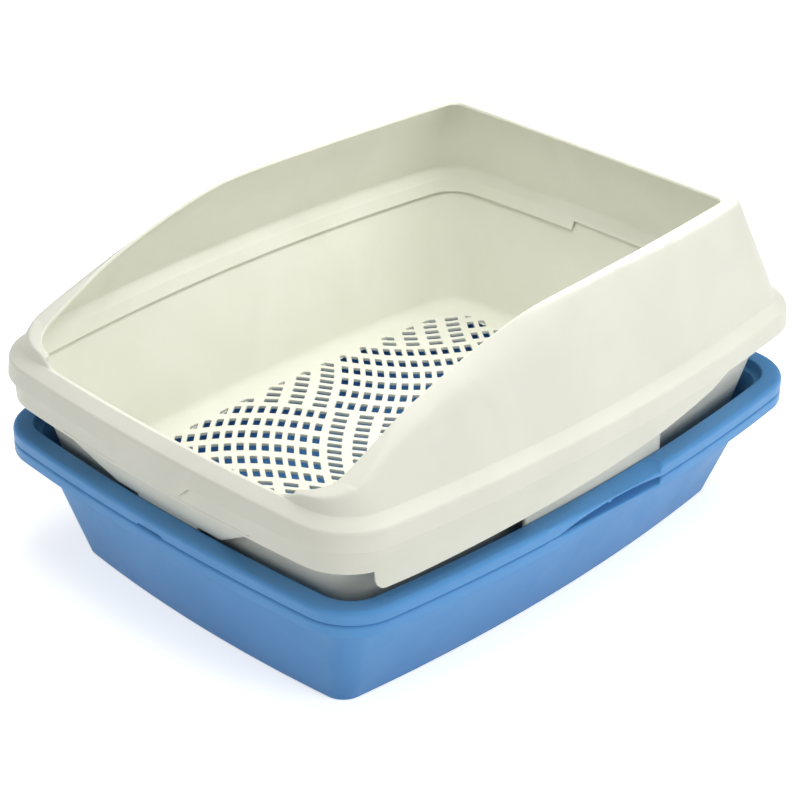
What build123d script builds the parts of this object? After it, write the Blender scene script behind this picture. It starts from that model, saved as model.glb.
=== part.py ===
from build123d import *
import math
import os

# Sifting litter pan: two nested catch pans, a sifting pan and a frame, all in millimetres.
# +Z is up, the origin is at the centre of the base, and the low entry faces -Y.
# Half sizes are taken at the middle of a side, because all four sides bow outward.
# An inset is measured inward from an outline, a drop down from a rim and a rise up from it.

# Catch pan, one moulding used twice: its rim
rim_half_x = 191.0
rim_half_y = 239.0
rim_bow_x = 17.0
rim_bow_y = 9.0
rim_corner = 41.0
rim_land = 14.5
rim_round = 4.0
rim_inner_round = 1.0
rim_skirt_drop = 9.3

# Catch pan: walls, floor and the ledge inside the rim
pan_height = 93.5
pan_wall = 2.0
base_inset_x = 47.0
base_inset_y = 38.5
base_bow_x = 13.0
base_bow_y = 8.0
base_corner = 16.0
base_round = 3.0
ledge_drop = 7.5
ledge_width = 5.0

# Finger holds on the long sides of a catch pan, and pry slots on its short sides
grip_half_length = 54.0
grip_rise = 5.5
grip_dish = 1.4
grip_web = 4.0
pry_half_length = 12.5
pry_rise = 1.6

# Sifting pan: its outline runs round the rim, a little inside the frame's outline
sift_rise = 62.0
sift_depth = 101.0
sift_wall = 2.5
sift_base_inset_x = 41.0
sift_base_inset_y = 34.5
sift_base_bow_x = 11.0
sift_base_bow_y = 7.5
sift_base_corner = 26.0
sift_base_round = 9.0
sift_wall_inset = 13.5
sift_rim_round = 1.0
apron_gap = 0.5
apron_thick = 2.3

# Aprons that hang from the sifting pan's rim
hidden_apron_drop = 9.5
front_apron_drop = 29.5
side_apron_drop = 44.0
side_apron_front_inset = 35.5
side_apron_corner = 8.0
side_apron_level = 33.0
side_apron_knee_drop = 32.0
side_apron_knee = 60.0
side_apron_back = 146.0
end_apron_half = 91.0
end_apron_half_top = 100.0

# Feet of the sifting pan, which stand on the ledge of the upper catch pan
foot_thick = 2.5
foot_gap = 0.5
foot_top_drop = 16.5
foot_half_side = 70.0
foot_rib_thick = 2.0
foot_rib_spacing = 50.0
foot_rib_rise = 2.0

# Sloping sheets under the end aprons, which reach down to the catch pan's rim
end_sheet_half_low = 52.0
end_sheet_rise = 8.5
end_sheet_inset = 1.5
end_sheet_joint = 4.5

# Sieve slots: a basket weave of square cells, turned by 45 degrees, with wavy lines
cell_side = 109.3
cell_reach = 3
slots_across = 12
slots_along = 6
slot_width = 5.3
slot_length = 10.6
wave_across = 5.9
wave_along = 9.6
sieve_margin_x = 17.0
sieve_margin_y = 15.0
sieve_corner = 24.0

# Frame: skirt and sloping shoulder, and the lip inside the sifting pan
frame_overhang_x = 1.0
frame_overhang_y = 2.5
frame_bow_x = 19.0
frame_bow_y = 8.5
frame_corner = 47.0
frame_wall = 2.5
frame_skirt_drop = 12.0
frame_dip_drop = 23.5
frame_dip_half = 27.0
frame_dip_half_top = 43.0
frame_shoulder_rise = 1.5
frame_shoulder_round = 3.0
crease_inset = 10.5
crease_rise = 8.0
land_width = 4.0
lip_gap = 0.4
lip_thick = 2.0
lip_drop = 10.0
lip_notch_half = 36.0
lip_notch_rise = 7.0

# Frame: leaning wall, and how far the top edge lies below the swept surface on its inner side
frame_rise = 80.0
top_inset_x = 42.0
top_inset_y = 37.5
top_bow_x = 8.0
top_bow_y = 6.5
top_corner = 24.0
top_edge_drop = 3.5

# Hole inside the frame's top edge, which turns inward and is widest towards the back
hole_inset_front = 51.0
hole_inset_middle = 50.0
hole_inset_back = 63.0
hole_front_inset = 22.0
hole_front_bow = 3.5
hole_back_inset = 56.5
hole_back_bow = 2.0
hole_front_corner = 20.0
hole_back_corner = 8.0

# Sweep of the frame's top edge, from the low entry round the front corners to the back
entry_half = 82.0
corner_inset_x = 52.0
corner_rise = 23.0
front_fall = 0.4
side_start_inset = 35.5
side_knee_length = 41.0
side_knee_rise = 44.0
side_full = 20.0
sweep_inset = 46.0
sweep_width = 50.0
sweep_back = 3.3
sweep_fall = 1.75
sweep_start_drop = 6.0

# How the pieces stack
nest_pitch = ledge_drop + pan_wall
ledge_height = nest_pitch + pan_height - ledge_drop
sift_rim_top = ledge_height + sift_rise
sift_base = sift_rim_top - sift_depth
frame_shoulder = sift_rim_top + frame_shoulder_rise
crease_height = sift_rim_top + crease_rise
frame_top = sift_rim_top + frame_rise
frame_half_x = rim_half_x + frame_overhang_x
frame_half_y = rim_half_y + frame_overhang_y
sift_base_half_x = frame_half_x - sift_base_inset_x
sift_base_half_y = frame_half_y - sift_base_inset_y

# Outlines: half sizes and bows along X and Y, and the corner radius
rim_size = (rim_half_x, rim_half_y, rim_bow_x, rim_bow_y, rim_corner)
base_size = (rim_half_x - base_inset_x, rim_half_y - base_inset_y, base_bow_x, base_bow_y, base_corner)
sift_base_size = (sift_base_half_x, sift_base_half_y, sift_base_bow_x, sift_base_bow_y, sift_base_corner)
sieve_size = (sift_base_half_x - sieve_margin_x, sift_base_half_y - sieve_margin_y,
              sift_base_bow_x, sift_base_bow_y, sieve_corner)
frame_size = (frame_half_x, frame_half_y, frame_bow_x, frame_bow_y, frame_corner)
top_size = (frame_half_x - top_inset_x, frame_half_y - top_inset_y, top_bow_x, top_bow_y, top_corner)

# Cutting shapes run past what they cut
reach = 2 * frame_half_y
overrun = 1.0


def inset(size, distance):
    # the outline that runs parallel to another, a distance further in
    half_x, half_y, bow_x, bow_y, corner = size
    radius_x = ((half_y - bow_y) ** 2 + bow_x ** 2) / (2 * bow_x)
    radius_y = ((half_x - bow_x) ** 2 + bow_y ** 2) / (2 * bow_y)
    centre_x = half_x - radius_x
    centre_y = half_y - radius_y
    radius_x -= distance
    radius_y -= distance
    # the two side arcs meet where their circles cross
    apart = math.hypot(centre_x, centre_y)
    along = (radius_x ** 2 - radius_y ** 2 + apart ** 2) / (2 * apart)
    across = math.sqrt(radius_x ** 2 - along ** 2)
    x = centre_x + (-centre_x * along - centre_y * across) / apart
    y = (centre_y * along - centre_x * across) / apart
    return (half_x - distance, half_y - distance, half_x - distance - x, half_y - distance - y,
            max(corner - distance, overrun))


def outline(size, height):
    # four bowed sides, as arcs, with rounded corners
    half_x, half_y, bow_x, bow_y, corner = size
    x = half_x - bow_x
    y = half_y - bow_y
    sides = Wire([
        ThreePointArc((x, -y), (half_x, 0), (x, y)),
        ThreePointArc((x, y), (0, half_y), (-x, y)),
        ThreePointArc((-x, y), (-half_x, 0), (-x, -y)),
        ThreePointArc((-x, -y), (0, -half_y), (x, -y)),
    ])
    return Pos(0, 0, height) * Face(sides.fillet_2d(corner, sides.vertices()))


def tapered(low_size, low, high_size, high):
    return loft([outline(low_size, low), outline(high_size, high)], ruled=True)


def extended(low_size, low, high_size, high, top):
    # the size that the same taper reaches at another height
    share = (top - low) / (high - low)
    return tuple(a + (b - a) * share for a, b in zip(low_size, high_size))


def tub(low_size, low, high_size, high, wall, outer_round, inner_round):
    # outside and inside of a tapered tub with a flat floor, each rounded at its foot
    outside = tapered(low_size, low, high_size, high)
    outside = fillet(outside.edges().group_by(Axis.Z)[0], outer_round)
    floor = low + wall
    brim = high + 2 * wall
    floor_size = inset(extended(low_size, low, high_size, high, floor), wall)
    brim_size = inset(extended(low_size, low, high_size, high, brim), wall)
    inside = tapered(floor_size, floor, brim_size, brim)
    inside = fillet(inside.edges().group_by(Axis.Z)[0], inner_round)
    return outside, inside


def ring(size, points, rounds=()):
    # a closed section of (inset, height) points swept round an outline
    path = outline(size, 0).outer_wire()
    start = path.position_at(0)
    along = path.tangent_at(0)
    inward = Vector(-along.Y, along.X, 0)
    section = Wire(Polyline(*points, close=True).edges())
    for index, radius in rounds:
        corner = Vector(*points[index], 0)
        vertex = min(section.vertices(), key=lambda v: (Vector(v.X, v.Y, 0) - corner).length)
        section = section.fillet_2d(radius, [vertex])
    return sweep(Plane(origin=start, x_dir=inward, z_dir=along) * Face(section), path=path)


def side_prism(points):
    # (y, z) points, extended to both long sides
    face = Face(Wire(Polyline(*points, close=True).edges()))
    return extrude(Plane.YZ * face, reach, both=True)


def end_prism(points):
    # (x, z) points, extended to both short sides
    face = Face(Wire(Polyline(*points, close=True).edges()))
    return extrude(Plane.XZ * face, reach, both=True)


def block(low, high):
    middle = [(a + b) / 2 for a, b in zip(low, high)]
    return Pos(*middle) * Box(*[b - a for a, b in zip(low, high)])


def catch_pan():
    ledge = pan_height - ledge_drop
    skirt = pan_height - rim_skirt_drop
    under_rim = pan_height - pan_wall
    ledge_reach = rim_land + ledge_width + overrun
    rim = ring(rim_size, [
        (0, skirt), (0, pan_height), (rim_land, pan_height), (rim_land, ledge),
        (ledge_reach, ledge), (ledge_reach, ledge - pan_wall),
        (rim_land - pan_wall, ledge - pan_wall), (rim_land - pan_wall, under_rim),
        (pan_wall, under_rim), (pan_wall, skirt),
    ], [(1, rim_round), (2, rim_inner_round)])
    wall_top = inset(rim_size, rim_land + ledge_width - pan_wall)
    outside, inside = tub(base_size, 0, wall_top, ledge, pan_wall, base_round, base_round)
    pan = outside + rim - inside

    # finger holds: an arched skirt edge, a web across the channel and a dished thumb rest
    arch_radius = (grip_half_length ** 2 + grip_rise ** 2) / (2 * grip_rise)
    arch_centre = skirt + grip_rise - arch_radius
    dish_radius = grip_half_length ** 2 / (2 * grip_dish)
    dish_tilt = math.degrees(math.atan(grip_dish / rim_land))
    channel_inner = rim_half_x - rim_land + pan_wall
    for side in (-1, 1):
        arch = Pos(side * rim_half_x, 0, arch_centre) * Rot(0, 90, 0) * Cylinder(arch_radius, rim_land)
        pan -= arch & block((-reach, -reach, skirt - overrun), (reach, reach, under_rim))
        web_x = sorted((side * (channel_inner - overrun), side * (rim_half_x - overrun)))
        pan += block((web_x[0], -grip_web / 2, skirt + grip_rise / 2), (web_x[1], grip_web / 2, under_rim))
        dish = Pos(side * (rim_half_x - rim_land), 0, pan_height) * Rot(0, side * dish_tilt, 0)
        dish = dish * Pos(side * reach / 2, 0, dish_radius) * Rot(0, 90, 0) * Cylinder(dish_radius, reach)
        pan -= dish

    # pry slots in the skirt's lower edge, where one pan is parted from the other
    for side in (-1, 1):
        slot_y = sorted((side * (rim_half_y - rim_land / 2), side * (rim_half_y + overrun)))
        pan -= block((-pry_half_length, slot_y[0], skirt - overrun),
                     (pry_half_length, slot_y[1], skirt + pry_rise))
    return pan


def wavy(u, v):
    # the weave's lines wave by half a period in each cell
    along = u + wave_across * math.sin(math.pi * v / cell_side)
    up = v - wave_along * math.sin(math.pi * u / cell_side)
    turn = math.sqrt(0.5)
    return (turn * (along - up) - cell_side * turn, turn * (along + up))


def inside_sieve(x, y):
    half_x, half_y, bow_x, bow_y, corner = sieve_size
    edge_x = half_x - bow_x * (y / half_y) ** 2
    edge_y = half_y - bow_y * (x / half_x) ** 2
    if abs(x) > edge_x or abs(y) > edge_y:
        return False
    beyond_x = abs(x) - (edge_x - corner)
    beyond_y = abs(y) - (edge_y - corner)
    return beyond_x < 0 or beyond_y < 0 or math.hypot(beyond_x, beyond_y) < corner


def slot(u, v, half_u, half_v):
    # one slot of the sieve, as its four corners in the plane
    return [wavy(u - half_u, v - half_v), wavy(u + half_u, v - half_v),
            wavy(u + half_u, v + half_v), wavy(u - half_u, v + half_v)]


def sieve_slots():
    low = sift_base - overrun
    depth = sift_wall + 2 * overrun
    cutters = []
    cells = range(-cell_reach, cell_reach + 1)
    for row in cells:
        for column in cells:
            counts = (slots_across, slots_along)
            halves = (slot_width / 2, slot_length / 2)
            if (row + column) % 2:
                counts = counts[::-1]
                halves = halves[::-1]
            for i in range(counts[0]):
                for j in range(counts[1]):
                    u = (column + (i + 0.5) / counts[0]) * cell_side
                    v = (row + (j + 0.5) / counts[1]) * cell_side
                    corners = slot(u, v, *halves)
                    if all(inside_sieve(x, y) for x, y in corners):
                        face = Pos(0, 0, low) * Face(Wire(Polyline(*corners, close=True).edges()))
                        cutters.append(extrude(face, depth))
    return cutters


def within(size, distance):
    # all that lies further in than a distance from an outline
    return extrude(outline(inset(size, distance), 0), frame_top)


def sifting_pan():
    under_rim = sift_rim_top - sift_wall
    rim_inset = sift_wall_inset + sift_wall + overrun
    apron_inset = frame_wall + apron_gap
    apron_inner = apron_inset + apron_thick
    wall_top = inset(frame_size, sift_wall_inset)
    outside, inside = tub(sift_base_size, sift_base, wall_top, under_rim, sift_wall,
                          sift_base_round + sift_wall, sift_base_round)

    # the rim with its apron as deep as it goes, cut back where the apron is short
    hidden = sift_rim_top - hidden_apron_drop
    front_low = sift_rim_top - front_apron_drop
    side_low = sift_rim_top - side_apron_drop
    lowest = min(side_low, front_low)
    side_front = side_apron_front_inset - frame_half_y
    rim = ring(frame_size, [
        (apron_inset, lowest), (apron_inset, sift_rim_top), (rim_inset, sift_rim_top),
        (rim_inset, under_rim), (apron_inner, under_rim), (apron_inner, lowest),
    ], [(1, sift_rim_round)])
    side_edge = Wire(Polyline(
        (-reach, hidden), (-reach, front_low), (side_front, front_low), (side_front, side_low),
        (side_front + side_apron_level, side_low), (side_apron_knee, sift_rim_top - side_apron_knee_drop),
        (side_apron_back, hidden), close=True).edges())
    front_corner = side_edge.vertices().group_by(Axis.Y)[0].sort_by(Axis.X)[0]
    side_edge = side_edge.fillet_2d(side_apron_corner, [front_corner])
    spare = block((-reach, -reach, lowest - overrun), (reach, reach, hidden))
    spare -= extrude(Plane.YZ * Face(side_edge), reach, both=True)
    spare -= end_prism([(-end_apron_half_top, hidden), (-end_apron_half, front_low),
                        (end_apron_half, front_low), (end_apron_half_top, hidden)])
    rim -= spare

    # long feet: upright plates just inside the catch pan's rim, with short ribs back to the wall
    foot_outer = rim_land + foot_gap
    foot_inner = foot_outer + foot_thick
    foot_top = sift_rim_top - foot_top_drop
    plate = ring(rim_size, [(foot_outer, ledge_height), (foot_outer, foot_top),
                            (foot_inner, foot_top), (foot_inner, ledge_height)])
    feet = plate & side_prism([(-foot_half_side, ledge_height), (foot_half_side, ledge_height),
                               (foot_half_side, foot_top), (-foot_half_side, foot_top)])
    long_side = rim_half_x - rim_bow_x - rim_corner
    feet -= block((-long_side, -reach, 0), (long_side, reach, frame_top))

    # end sheets: the apron goes on downward and inward, and stops just above the catch pan's rim
    sheet_low = ledge_height + end_sheet_rise
    sheet_joint = front_low + end_sheet_joint
    sheet_inner = end_sheet_inset + foot_thick
    sheet = ring(rim_size, [
        (foot_outer, sheet_low), (end_sheet_inset, front_low), (end_sheet_inset, sheet_joint),
        (sheet_inner, sheet_joint), (sheet_inner, front_low), (foot_inner, sheet_low),
    ])
    feet += sheet & end_prism([
        (-end_sheet_half_low, sheet_low), (end_sheet_half_low, sheet_low), (end_apron_half, front_low),
        (end_apron_half, sheet_joint), (-end_apron_half, sheet_joint), (-end_apron_half, front_low),
    ])
    for side in (-1, 1):
        for step in (-1, 0, 1):
            place = step * foot_rib_spacing
            x = sorted((side * (sift_base_half_x - sift_wall), side * (rim_half_x - foot_inner + overrun)))
            rib = block((x[0], place - foot_rib_thick / 2, ledge_height + foot_rib_rise),
                        (x[1], place + foot_rib_thick / 2, foot_top))
            feet += rib & within(rim_size, foot_inner - overrun)
    return outside + rim + feet - inside - sieve_slots()


def swept(face, direction, length):
    # a face moved along a slanting direction, where the length is measured across the face's plane
    slant = Vector(*direction)
    return extrude(face, length * slant.length, dir=slant)


def kept_below(drop):
    # what stays under the frame's swept top surface, when that surface is lowered by a drop
    low = crease_height - drop
    corner = sift_rim_top + corner_rise - drop
    knee = sift_rim_top + side_knee_rise - drop
    top = frame_top - drop
    side_start = side_start_inset - frame_half_y
    side_knee = side_start + side_knee_length

    # the front corners rise from the entry, and fall away forward
    corner_start = frame_half_x - corner_inset_x
    middle = ((entry_half + corner_start) / 2, (low + corner) / 2)
    rise = [TangentArc((entry_half, low), middle, tangent=(1, 0)),
            TangentArc((corner_start, corner), middle, tangent=(-1, 0))]
    border = Polyline((corner_start, corner), (reach, corner), (reach, 0), (entry_half, 0), (entry_half, low))
    front = Plane.XZ.offset(-side_start) * Face(Wire(rise + border.edges()))
    kept = swept(front, (0, -1, -front_fall), frame_half_y + side_start + overrun)

    # the sides rise straight and then in an arc, and fall away outward more and more towards the back
    crest = TangentArc((side_full, top), (side_knee, knee), tangent=(-1, 0))
    slope = (knee - corner) / side_knee_length
    start = (side_knee - (knee - low + sweep_start_drop) / slope, low - sweep_start_drop)
    border = Polyline((side_knee, knee), start, (start[0], 0), (reach, 0), (reach, top), (side_full, top))
    side_x = frame_half_x - sweep_inset
    side = Plane.YZ.offset(side_x) * Face(Wire([crest] + border.edges()))
    kept += swept(side, (1, -sweep_back, -sweep_fall), sweep_width)
    kept += swept(side, (-1, sweep_back, sweep_fall), sweep_width)
    return kept + mirror(kept, Plane.YZ) + block((-side_x, side_full, 0), (side_x, reach, top))


def leaning(distance, high):
    # all that lies inside the frame's leaning wall, a distance inward from its outer face
    outer = inset(frame_size, crease_inset)
    high_size = extended(outer, crease_height, top_size, frame_top, high)
    return tapered(inset(outer, distance), crease_height, inset(high_size, distance), high)


def hole():
    # the hole inside the frame's top edge, seen from above
    front = hole_front_inset - frame_half_y
    back = frame_half_y - hole_back_inset
    front_x = frame_half_x - hole_inset_front
    middle_x = frame_half_x - hole_inset_middle
    back_x = frame_half_x - hole_inset_back
    middle_y = (front + back) / 2
    sides = Wire([
        ThreePointArc((front_x, front), (middle_x, middle_y), (back_x, back)),
        ThreePointArc((back_x, back), (0, back + hole_back_bow), (-back_x, back)),
        ThreePointArc((-back_x, back), (-middle_x, middle_y), (-front_x, front)),
        ThreePointArc((-front_x, front), (0, front - hole_front_bow), (front_x, front)),
    ])
    sides = sides.fillet_2d(hole_front_corner, sides.vertices().group_by(Axis.Y)[0])
    sides = sides.fillet_2d(hole_back_corner, sides.vertices().group_by(Axis.Y)[-1])
    return extrude(Pos(0, 0, crease_height - overrun) * Face(sides), frame_rise)


def frame():
    lean = (sift_base_inset_x - sift_wall_inset) / (sift_depth - sift_wall)
    skirt_bottom = sift_rim_top - frame_skirt_drop
    dip_bottom = sift_rim_top - frame_dip_drop
    shoulder_slope = (crease_height - frame_shoulder) / crease_inset
    under_drop = frame_wall * math.hypot(1, shoulder_slope)
    land_inset = frame_wall + land_width
    lip_inset = sift_wall_inset + sift_wall + lip_gap
    lip_bottom = sift_rim_top - lip_drop
    lip_low_inset = lip_inset + lean * lip_drop
    shell = ring(frame_size, [
        (0, dip_bottom), (0, frame_shoulder), (crease_inset, crease_height),
        (crease_inset + frame_wall, crease_height), (lip_inset + lip_thick, sift_rim_top),
        (lip_low_inset + lip_thick, lip_bottom), (lip_low_inset, lip_bottom), (lip_inset, sift_rim_top),
        (crease_inset, crease_height - under_drop),
        (land_inset, frame_shoulder + shoulder_slope * land_inset - under_drop),
        (land_inset, sift_rim_top), (frame_wall, sift_rim_top), (frame_wall, dip_bottom),
    ], [(1, frame_shoulder_round)])
    spare = block((-reach, -reach, 0), (reach, reach, skirt_bottom))
    spare -= end_prism([(-frame_dip_half_top, skirt_bottom), (-frame_dip_half, dip_bottom),
                        (frame_dip_half, dip_bottom), (frame_dip_half_top, skirt_bottom)])
    shell -= spare
    shell -= block((-lip_notch_half, 0, lip_bottom - overrun),
                   (lip_notch_half, frame_half_y - sift_wall_inset, lip_bottom + lip_notch_rise))

    # leaning wall, whose swept top turns inward to the hole
    wall = leaning(0, frame_top) & kept_below(0)
    wall -= leaning(frame_wall, frame_top - top_edge_drop) & kept_below(top_edge_drop)
    return shell + (wall - hole())


if __name__ == "__main__":
    os.makedirs("parts", exist_ok=True)
    lower = catch_pan()
    export_step(lower, "parts/lower_catch_pan.step")
    export_step(Pos(0, 0, nest_pitch) * lower, "parts/upper_catch_pan.step")
    export_step(sifting_pan(), "parts/sifting_pan.step")
    export_step(frame(), "parts/frame.step")
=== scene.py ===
import math

import bmesh
import bpy
import numpy as np
from mathutils import Matrix, Vector
from mathutils.geometry import delaunay_2d_cdt


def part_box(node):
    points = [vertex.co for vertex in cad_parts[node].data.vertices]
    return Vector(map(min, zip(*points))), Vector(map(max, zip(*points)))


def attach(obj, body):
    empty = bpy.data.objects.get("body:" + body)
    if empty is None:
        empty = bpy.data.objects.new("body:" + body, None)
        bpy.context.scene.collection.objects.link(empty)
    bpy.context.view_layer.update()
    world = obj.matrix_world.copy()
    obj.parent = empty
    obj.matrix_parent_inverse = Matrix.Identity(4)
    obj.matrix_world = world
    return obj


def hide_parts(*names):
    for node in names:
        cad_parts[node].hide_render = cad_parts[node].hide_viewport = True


bl_info = {
    "name": "Sifting litter pan",
    "version": (1, 0, 0),
    "blender": (4, 5, 0),
    "location": "3D View > Sidebar > Litter pan",
    "description": "Dresses the packed litter pan: two catch pans, a sifting pan, a frame and a studio stage",
    "category": "Object",
}

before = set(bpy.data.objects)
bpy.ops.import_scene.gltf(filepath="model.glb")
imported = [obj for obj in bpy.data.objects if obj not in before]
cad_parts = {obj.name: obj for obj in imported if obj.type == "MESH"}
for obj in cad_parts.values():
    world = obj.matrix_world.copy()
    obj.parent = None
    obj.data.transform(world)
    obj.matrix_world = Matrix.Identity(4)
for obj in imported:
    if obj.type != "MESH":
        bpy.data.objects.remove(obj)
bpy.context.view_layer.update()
pan_low, pan_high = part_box("lower_catch_pan")
nested_low, nested_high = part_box("upper_catch_pan")
tray_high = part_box("sifting_pan")[1]
guard_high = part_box("frame")[1]

MM = 1000.0
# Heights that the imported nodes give, in millimetres
RIM_TOP = MM * (pan_high.z - pan_low.z)
TRAY_TOP = MM * tray_high.z
GUARD_TOP = MM * guard_high.z
# Places that more than one piece uses: the catch pan's ledge and the crease round the frame's shoulder
LEDGE_DROP = 7.5
CREASE = TRAY_TOP + 8.0
CREASE_INSET = 10.5


def clamp(value, low=0.0, high=1.0):
    return np.minimum(np.maximum(value, low), high)


def ease(value):
    """A smooth step from 0 to 1."""
    value = clamp(value)
    return value * value * (3 - 2 * value)


class Outline:
    """Four bowed sides with rounded corners: eight arcs, from the +X side anticlockwise."""

    def __init__(self, half_x, half_y, bow_x, bow_y, corner):
        self.size = (half_x, half_y, bow_x, bow_y, corner)
        self.radius_x = ((half_y - bow_y) ** 2 + bow_x ** 2) / (2 * bow_x)
        self.radius_y = ((half_x - bow_x) ** 2 + bow_y ** 2) / (2 * bow_y)
        centre_x = half_x - self.radius_x
        centre_y = half_y - self.radius_y
        fx, fy = self.crossing(corner)
        turn_x = math.atan2(fy, fx - centre_x)
        turn_y = math.atan2(fx, fy - centre_y)
        quarter = math.pi / 2
        self.turn_x, self.turn_y = turn_x, turn_y
        self.arcs = np.array([
            (centre_x, 0, self.radius_x, -turn_x, turn_x),
            (fx, fy, corner, turn_x, quarter - turn_y),
            (0, centre_y, self.radius_y, quarter - turn_y, quarter + turn_y),
            (-fx, fy, corner, quarter + turn_y, 2 * quarter - turn_x),
            (-centre_x, 0, self.radius_x, 2 * quarter - turn_x, 2 * quarter + turn_x),
            (-fx, -fy, corner, 2 * quarter + turn_x, 3 * quarter - turn_y),
            (0, -centre_y, self.radius_y, 3 * quarter - turn_y, 3 * quarter + turn_y),
            (fx, -fy, corner, 3 * quarter + turn_y, 4 * quarter - turn_x),
        ])

    def crossing(self, distance):
        """Where the two side arcs cross once both are moved inward."""
        half_x, half_y = self.size[:2]
        centre_x = half_x - self.radius_x
        centre_y = half_y - self.radius_y
        radius_x = self.radius_x - distance
        radius_y = self.radius_y - distance
        apart = math.hypot(centre_x, centre_y)
        along = (radius_x ** 2 - radius_y ** 2 + apart ** 2) / (2 * apart)
        across = math.sqrt(radius_x ** 2 - along ** 2)
        return (centre_x + (-centre_x * along - centre_y * across) / apart,
                (centre_y * along - centre_x * across) / apart)

    def inset(self, distance):
        half_x, half_y, corner = self.size[0], self.size[1], self.size[4]
        x, y = self.crossing(distance)
        half_x -= distance
        half_y -= distance
        return Outline(half_x, half_y, half_x - x, half_y - y, max(corner - distance, 1.0))

    def at(self, stations):
        """Points and outward directions at (arc, share) stations."""
        arc = self.arcs[stations[:, 0].astype(int)]
        angle = arc[:, 3] + (arc[:, 4] - arc[:, 3]) * stations[:, 1]
        outward = np.stack([np.cos(angle), np.sin(angle)], 1)
        return arc[:, :2] + arc[:, 2:3] * outward, outward

    def long_share(self, y):
        return (math.asin(y / self.radius_x) + self.turn_x) / (2 * self.turn_x)

    def short_share(self, x):
        return (math.asin(x / self.radius_y) + self.turn_y) / (2 * self.turn_y)


RIM = Outline(191.0, 239.0, 17.0, 9.0, 41.0)
BASE = Outline(144.0, 200.5, 13.0, 8.0, 16.0)
TRAY_BASE = Outline(151.0, 207.0, 11.0, 7.5, 26.0)
TRAY_WALL_TOP_INSET = 13.5
GUARD = Outline(192.0, 241.5, 19.0, 8.5, 47.0)
GUARD_TOP_EDGE = Outline(150.0, 204.0, 8.0, 6.5, 24.0)


def stations_of(outline, long_count, short_count, corner_count, long_marks=(), short_marks=(), front_marks=()):
    """Shares round an outline, with two close stations at each mark, where a form starts or ends.

    Long marks are Y on the long sides, short marks X on the short sides, front marks Y on the front corners.
    """
    gap, apart = 0.12, 0.3
    made = []
    for arc in range(8):
        count = (long_count, corner_count, short_count, corner_count)[arc % 4]
        shares = list(np.arange(count) / count)
        marks = {0: long_marks, 4: long_marks, 2: short_marks, 6: short_marks,
                 5: front_marks, 7: front_marks}.get(arc, ())
        for place in (mark + side * gap for mark in marks for side in (-1, 1)):
            if arc in (0, 4):
                share = outline.long_share(place if arc == 0 else -place)
            elif arc in (2, 6):
                share = outline.short_share(-place if arc == 2 else place)
            else:
                fy, corner, start, end = outline.arcs[7, 1:]
                share = (2 * math.pi + math.asin((place - fy) / corner) - start) / (end - start)
                share = share if arc == 7 else 1 - share
            shares = [s for s in shares if abs(s - share) > apart / count or s == 0]
            shares.append(share)
        made += [(arc, share) for share in sorted(shares)]
    return np.array(made)


class Level:
    """An outline at a height, read at the stations."""

    def __init__(self, outline, stations):
        self.points, self.outward = outline.at(stations)

    def at(self, inset, height):
        inset = np.broadcast_to(np.asarray(inset, float), len(self.points))
        height = np.broadcast_to(np.asarray(height, float), len(self.points))
        flat = self.points - self.outward * inset[:, None]
        return np.concatenate([flat, height[:, None]], 1)


class Wall:
    """A leaning wall between an outline at a low height and one at a high height."""

    def __init__(self, low, low_height, high, high_height):
        self.low, self.high = low, high
        self.low_height, self.high_height = low_height, high_height

    def at(self, inset, height):
        count = len(self.low.points)
        height = np.broadcast_to(np.asarray(height, float), count)
        inset = np.broadcast_to(np.asarray(inset, float), count)
        share = ((height - self.low_height) / (self.high_height - self.low_height))[:, None]
        outward = self.low.outward + (self.high.outward - self.low.outward) * share
        outward /= np.linalg.norm(outward, axis=1, keepdims=True)
        flat = self.low.points + (self.high.points - self.low.points) * share - outward * inset[:, None]
        return np.concatenate([flat, height[:, None]], 1)


def rounded(rows):
    """Rings along a section: each row is (points, radius, steps), and steps above 1 round its corner."""
    rings = []
    for index, (points, radius, steps) in enumerate(rows):
        if steps < 2:
            rings.append(points)
            continue
        back = rows[index - 1][0] - points
        ahead = rows[(index + 1) % len(rows)][0] - points
        back_length = np.linalg.norm(back, axis=1, keepdims=True)
        ahead_length = np.linalg.norm(ahead, axis=1, keepdims=True)
        back = back / np.maximum(back_length, 1e-9)
        ahead = ahead / np.maximum(ahead_length, 1e-9)
        half = 0.5 * np.arccos(clamp((back * ahead).sum(1, keepdims=True), -1.0, 1.0))
        radius = np.broadcast_to(np.asarray(radius, float), len(points))[:, None]
        cut = radius / np.maximum(np.tan(half), 1e-6)
        cut = np.minimum(cut, 0.48 * np.minimum(back_length, ahead_length))
        weight = np.sin(half)
        for t in np.linspace(0, 1, steps + 1):
            first, middle, last = (1 - t) ** 2, 2 * t * (1 - t) * weight, t ** 2
            rings.append((first * (points + back * cut) + middle * points + last * (points + ahead * cut))
                         / (first + middle + last))
    return rings


def between(wall, inset, low, high, count):
    """Plain rows up or down a wall, so that its shading has something to follow."""
    return [(wall.at(inset, low + (high - low) * (step + 1) / (count + 1)), 0, 1) for step in range(count)]


def skin(bm, rings, closed, caps=False):
    """Faces between rings of points; a ring closes on itself, and the section too where it is closed."""
    rows = [[bm.verts.new(point / MM) for point in ring] for ring in rings]
    count = len(rows[0])
    pairs = list(zip(rows, rows[1:])) + ([(rows[-1], rows[0])] if closed else [])
    for low, high in pairs:
        for i in range(count):
            j = (i + 1) % count
            bm.faces.new((low[i], low[j], high[j], high[i]))
    if caps:
        bm.faces.new(rows[0])
        bm.faces.new(rows[-1])
    return rows


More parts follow.
